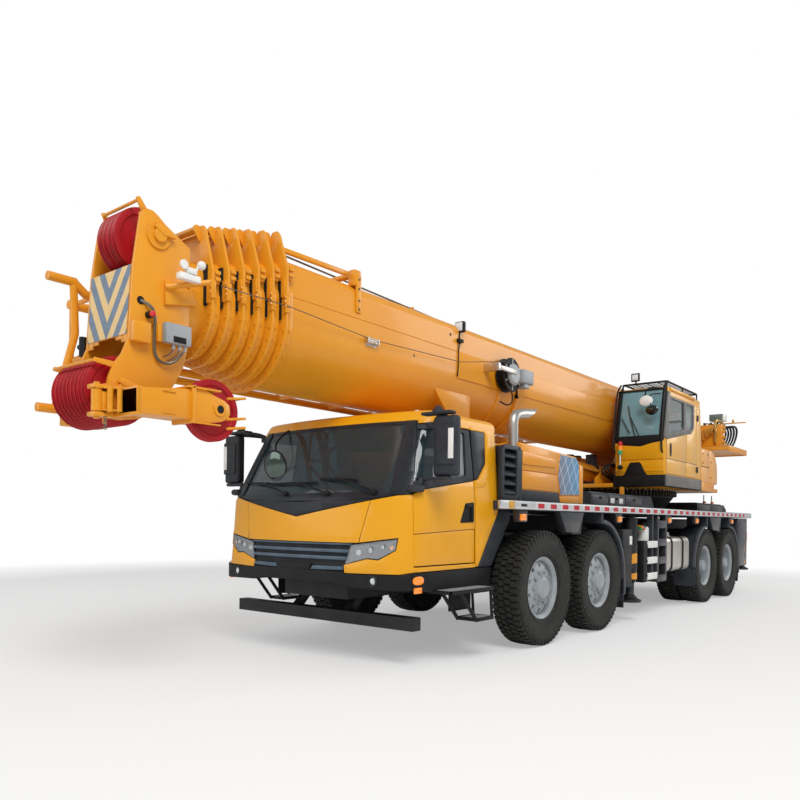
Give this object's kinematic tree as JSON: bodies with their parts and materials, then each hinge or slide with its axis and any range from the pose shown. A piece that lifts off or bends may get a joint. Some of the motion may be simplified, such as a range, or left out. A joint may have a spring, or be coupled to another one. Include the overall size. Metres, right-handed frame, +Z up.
{
  "type": "mobile crane",
  "caption": "Truck-mounted telescopic crane with a driver's cab, slewing superstructure, luffing cylinder and folding outriggers",
  "frame": {"origin": "middle of the machine's length and width, on the ground under the tyres", "axes": "+X forward, +Y to the driver's left, +Z up"},
  "size_m": [13.458, 3.14, 3.773],
  "materials": {
    "crane_yellow": "gloss two-pack paint",
    "boom_yellow": "gloss two-pack paint",
    "chassis_paint": "semi-gloss black paint",
    "deck_paint": "grey paint on checker plate",
    "black_trim": "moulded",
    "tyre": "moulded rubber",
    "rim_silver": "silver-grey paint",
    "glass": "tinted",
    "seat_trim": "grained",
    "cast_iron": "painted casting",
    "dark_steel": "oiled",
    "stainless": "brushed",
    "sheave_red": "satin paint",
    "chrome_rod": "ground and plated"
  },
  "bodies": {
    "carrier": {"chassis_frame": "chassis_paint", "deck": "deck_paint", "axles": "chassis_paint", "engine_block": "cast_iron", "engine_hood": "crane_yellow", "fuel_tank": "stainless", "slew_ring": "dark_steel", "cab_shell": "crane_yellow", "cab_glass": "glass", "cab_interior": "seat_trim", "bumper": "black_trim"},
    "cab_door_left": {"cab_door_left": "crane_yellow"},
    "cab_door_right": {"cab_door_right": "crane_yellow"},
    "wheel_1_left": {"tyre_1_left": "tyre", "rim_1_left": "rim_silver"},
    "knuckle_1_left": {"knuckle_1_left": "chassis_paint"},
    "wheel_1_right": {"tyre_1_right": "tyre", "rim_1_right": "rim_silver"},
    "knuckle_1_right": {"knuckle_1_right": "chassis_paint"},
    "wheel_2_left": {"tyre_2_left": "tyre", "rim_2_left": "rim_silver"},
    "knuckle_2_left": {"knuckle_2_left": "chassis_paint"},
    "wheel_2_right": {"tyre_2_right": "tyre", "rim_2_right": "rim_silver"},
    "knuckle_2_right": {"knuckle_2_right": "chassis_paint"},
    "wheel_3_left": {"tyre_3_left": "tyre", "rim_3_left": "rim_silver"},
    "wheel_3_right": {"tyre_3_right": "tyre", "rim_3_right": "rim_silver"},
    "wheel_4_left": {"tyre_4_left": "tyre", "rim_4_left": "rim_silver"},
    "wheel_4_right": {"tyre_4_right": "tyre", "rim_4_right": "rim_silver"},
    "outrigger_beam_front_left": {"outrigger_beam_front_left": "chassis_paint"},
    "outrigger_jack_front_left": {"outrigger_jack_front_left": "dark_steel"},
    "outrigger_beam_front_right": {"outrigger_beam_front_right": "chassis_paint"},
    "outrigger_jack_front_right": {"outrigger_jack_front_right": "dark_steel"},
    "outrigger_beam_rear_left": {"outrigger_beam_rear_left": "chassis_paint"},
    "outrigger_jack_rear_left": {"outrigger_jack_rear_left": "dark_steel"},
    "outrigger_beam_rear_right": {"outrigger_beam_rear_right": "chassis_paint"},
    "outrigger_jack_rear_right": {"outrigger_jack_rear_right": "dark_steel"},
    "superstructure": {"turntable": "crane_yellow", "winches": "dark_steel", "operator_cab": "crane_yellow", "operator_glass": "glass"},
    "operator_door": {"operator_door": "crane_yellow"},
    "boom_base": {"boom_base": "boom_yellow", "folding_jib": "boom_yellow", "jib_fork": "boom_yellow"},
    "boom_section_2": {"boom_section_2": "boom_yellow"},
    "boom_section_3": {"boom_section_3": "boom_yellow"},
    "boom_section_4": {"boom_section_4": "boom_yellow"},
    "boom_section_5": {"boom_section_5": "boom_yellow"},
    "boom_section_6": {"boom_section_6": "boom_yellow"},
    "boom_head": {"boom_head": "boom_yellow"},
    "upper_sheaves": {"upper_sheaves": "sheave_red"},
    "lower_sheaves": {"lower_sheaves": "sheave_red"},
    "aux_arm": {"aux_arm": "boom_yellow"},
    "luff_barrel": {"luff_barrel": "boom_yellow"},
    "luff_rod": {"luff_rod": "chrome_rod"}
  },
  "joints": [
    {"name": "cab_door_left_hinge", "type": "hinge", "parent": "carrier", "child": "cab_door_left", "pos_m": [4.196, 1.262, 1.4], "axis": [0, 0, -1], "range_deg": [0, 70]},
    {"name": "cab_door_right_hinge", "type": "hinge", "parent": "carrier", "child": "cab_door_right", "pos_m": [4.196, -1.262, 1.4], "axis": [0, 0, 1], "range_deg": [0, 70]},
    {"name": "steer_1_left", "type": "hinge", "parent": "carrier", "child": "knuckle_1_left", "pos_m": [2.271, 1.19, 0.6135], "axis": [0, 0, 1], "range_deg": [-32, 32]},
    {"name": "spin_1_left", "type": "hinge", "parent": "knuckle_1_left", "child": "wheel_1_left", "pos_m": [2.271, 1.325, 0.6135], "axis": [0, 1, 0], "continuous": true},
    {"name": "steer_1_right", "type": "hinge", "parent": "carrier", "child": "knuckle_1_right", "pos_m": [2.271, -1.19, 0.6135], "axis": [0, 0, 1], "range_deg": [-32, 32]},
    {"name": "spin_1_right", "type": "hinge", "parent": "knuckle_1_right", "child": "wheel_1_right", "pos_m": [2.271, -1.325, 0.6135], "axis": [0, 1, 0], "continuous": true},
    {"name": "steer_2_left", "type": "hinge", "parent": "carrier", "child": "knuckle_2_left", "pos_m": [0.826, 1.19, 0.6135], "axis": [0, 0, 1], "range_deg": [-20, 20]},
    {"name": "spin_2_left", "type": "hinge", "parent": "knuckle_2_left", "child": "wheel_2_left", "pos_m": [0.826, 1.325, 0.6135], "axis": [0, 1, 0], "continuous": true},
    {"name": "steer_2_right", "type": "hinge", "parent": "carrier", "child": "knuckle_2_right", "pos_m": [0.826, -1.19, 0.6135], "axis": [0, 0, 1], "range_deg": [-20, 20]},
    {"name": "spin_2_right", "type": "hinge", "parent": "knuckle_2_right", "child": "wheel_2_right", "pos_m": [0.826, -1.325, 0.6135], "axis": [0, 1, 0], "continuous": true},
    {"name": "spin_3_left", "type": "hinge", "parent": "carrier", "child": "wheel_3_left", "pos_m": [-3.463, 1.325, 0.6135], "axis": [0, 1, 0], "continuous": true},
    {"name": "spin_3_right", "type": "hinge", "parent": "carrier", "child": "wheel_3_right", "pos_m": [-3.463, -1.325, 0.6135], "axis": [0, 1, 0], "continuous": true},
    {"name": "spin_4_left", "type": "hinge", "parent": "carrier", "child": "wheel_4_left", "pos_m": [-4.811, 1.325, 0.6135], "axis": [0, 1, 0], "continuous": true},
    {"name": "spin_4_right", "type": "hinge", "parent": "carrier", "child": "wheel_4_right", "pos_m": [-4.811, -1.325, 0.6135], "axis": [0, 1, 0], "continuous": true},
    {"name": "outrigger_beam_front_left_slide", "type": "slide", "parent": "carrier", "child": "outrigger_beam_front_left", "axis": [0, 1, 0], "range_m": [0, 2.1]},
    {"name": "outrigger_jack_front_left_slide", "type": "slide", "parent": "outrigger_beam_front_left", "child": "outrigger_jack_front_left", "axis": [0, 0, -1], "range_m": [0, 0.65]},
    {"name": "outrigger_beam_front_right_slide", "type": "slide", "parent": "carrier", "child": "outrigger_beam_front_right", "axis": [0, -1, 0], "range_m": [0, 2.1]},
    {"name": "outrigger_jack_front_right_slide", "type": "slide", "parent": "outrigger_beam_front_right", "child": "outrigger_jack_front_right", "axis": [0, 0, -1], "range_m": [0, 0.65]},
    {"name": "outrigger_beam_rear_left_slide", "type": "slide", "parent": "carrier", "child": "outrigger_beam_rear_left", "axis": [0, 1, 0], "range_m": [0, 2.1]},
    {"name": "outrigger_jack_rear_left_slide", "type": "slide", "parent": "outrigger_beam_rear_left", "child": "outrigger_jack_rear_left", "axis": [0, 0, -1], "range_m": [0, 0.7]},
    {"name": "outrigger_beam_rear_right_slide", "type": "slide", "parent": "carrier", "child": "outrigger_beam_rear_right", "axis": [0, -1, 0], "range_m": [0, 2.1]},
    {"name": "outrigger_jack_rear_right_slide", "type": "slide", "parent": "outrigger_beam_rear_right", "child": "outrigger_jack_rear_right", "axis": [0, 0, -1], "range_m": [0, 0.7]},
    {"name": "slew", "type": "hinge", "parent": "carrier", "child": "superstructure", "pos_m": [-3.129, 0, 1.86], "axis": [0, 0, 1], "continuous": true},
    {"name": "operator_door_hinge", "type": "hinge", "parent": "superstructure", "child": "operator_door", "pos_m": [-3.234, 1.376, 2.6], "axis": [0, 0, 1], "range_deg": [0, 90]},
    {"name": "boom_luff", "type": "hinge", "parent": "superstructure", "child": "boom_base", "pos_m": [-4.579, 0, 3.05], "axis": [0, -1, 0], "range_deg": [0, 78]},
    {"name": "telescope_2", "type": "slide", "parent": "boom_base", "child": "boom_section_2", "axis": [1, 0, 0], "range_m": [0, 7.8]},
    {"name": "telescope_3", "type": "slide", "parent": "boom_section_2", "child": "boom_section_3", "axis": [1, 0, 0], "range_m": [0, 7.8]},
    {"name": "telescope_4", "type": "slide", "parent": "boom_section_3", "child": "boom_section_4", "axis": [1, 0, 0], "range_m": [0, 7.8]},
    {"name": "telescope_5", "type": "slide", "parent": "boom_section_4", "child": "boom_section_5", "axis": [1, 0, 0], "range_m": [0, 7.8]},
    {"name": "telescope_6", "type": "slide", "parent": "boom_section_5", "child": "boom_section_6", "axis": [1, 0, 0], "range_m": [0, 7.8]},
    {"name": "telescope_7", "type": "slide", "parent": "boom_section_6", "child": "boom_head", "axis": [1, 0, 0], "range_m": [0, 7.8]},
    {"name": "upper_sheaves_spin", "type": "hinge", "parent": "boom_head", "child": "upper_sheaves", "pos_m": [6.191, 0, 3.4], "axis": [0, 1, 0], "continuous": true},
    {"name": "lower_sheaves_spin", "type": "hinge", "parent": "boom_head", "child": "lower_sheaves", "pos_m": [6.466, 0, 2.215], "axis": [0, 1, 0], "continuous": true},
    {"name": "aux_arm_swing", "type": "hinge", "parent": "boom_head", "child": "aux_arm", "pos_m": [6.691, 0.36, 2.11], "axis": [0, 0, -1], "range_deg": [0, 180]},
    {"name": "luff_barrel_hinge", "type": "hinge", "parent": "superstructure", "child": "luff_barrel", "pos_m": [-2.729, 0, 2.08], "axis": [0, -1, 0], "range_deg": [0, 85.69]},
    {"name": "luff_rod_slide", "type": "slide", "parent": "luff_barrel", "child": "luff_rod", "axis": [0.9983, 0, 0.058], "range_m": [0, 2.532]}
  ],
  "couplings": [
    {"joint": "steer_1_right", "follows": "steer_1_left", "ratio": 1},
    {"joint": "steer_2_left", "follows": "steer_1_left", "ratio": 0.625},
    {"joint": "steer_2_right", "follows": "steer_1_left", "ratio": 0.625},
    {"joint": "luff_barrel_hinge", "follows": "boom_luff", "ratio": 1.0922},
    {"joint": "luff_rod_slide", "follows": "boom_luff", "m_per_rad": 1.8562}
  ]
}
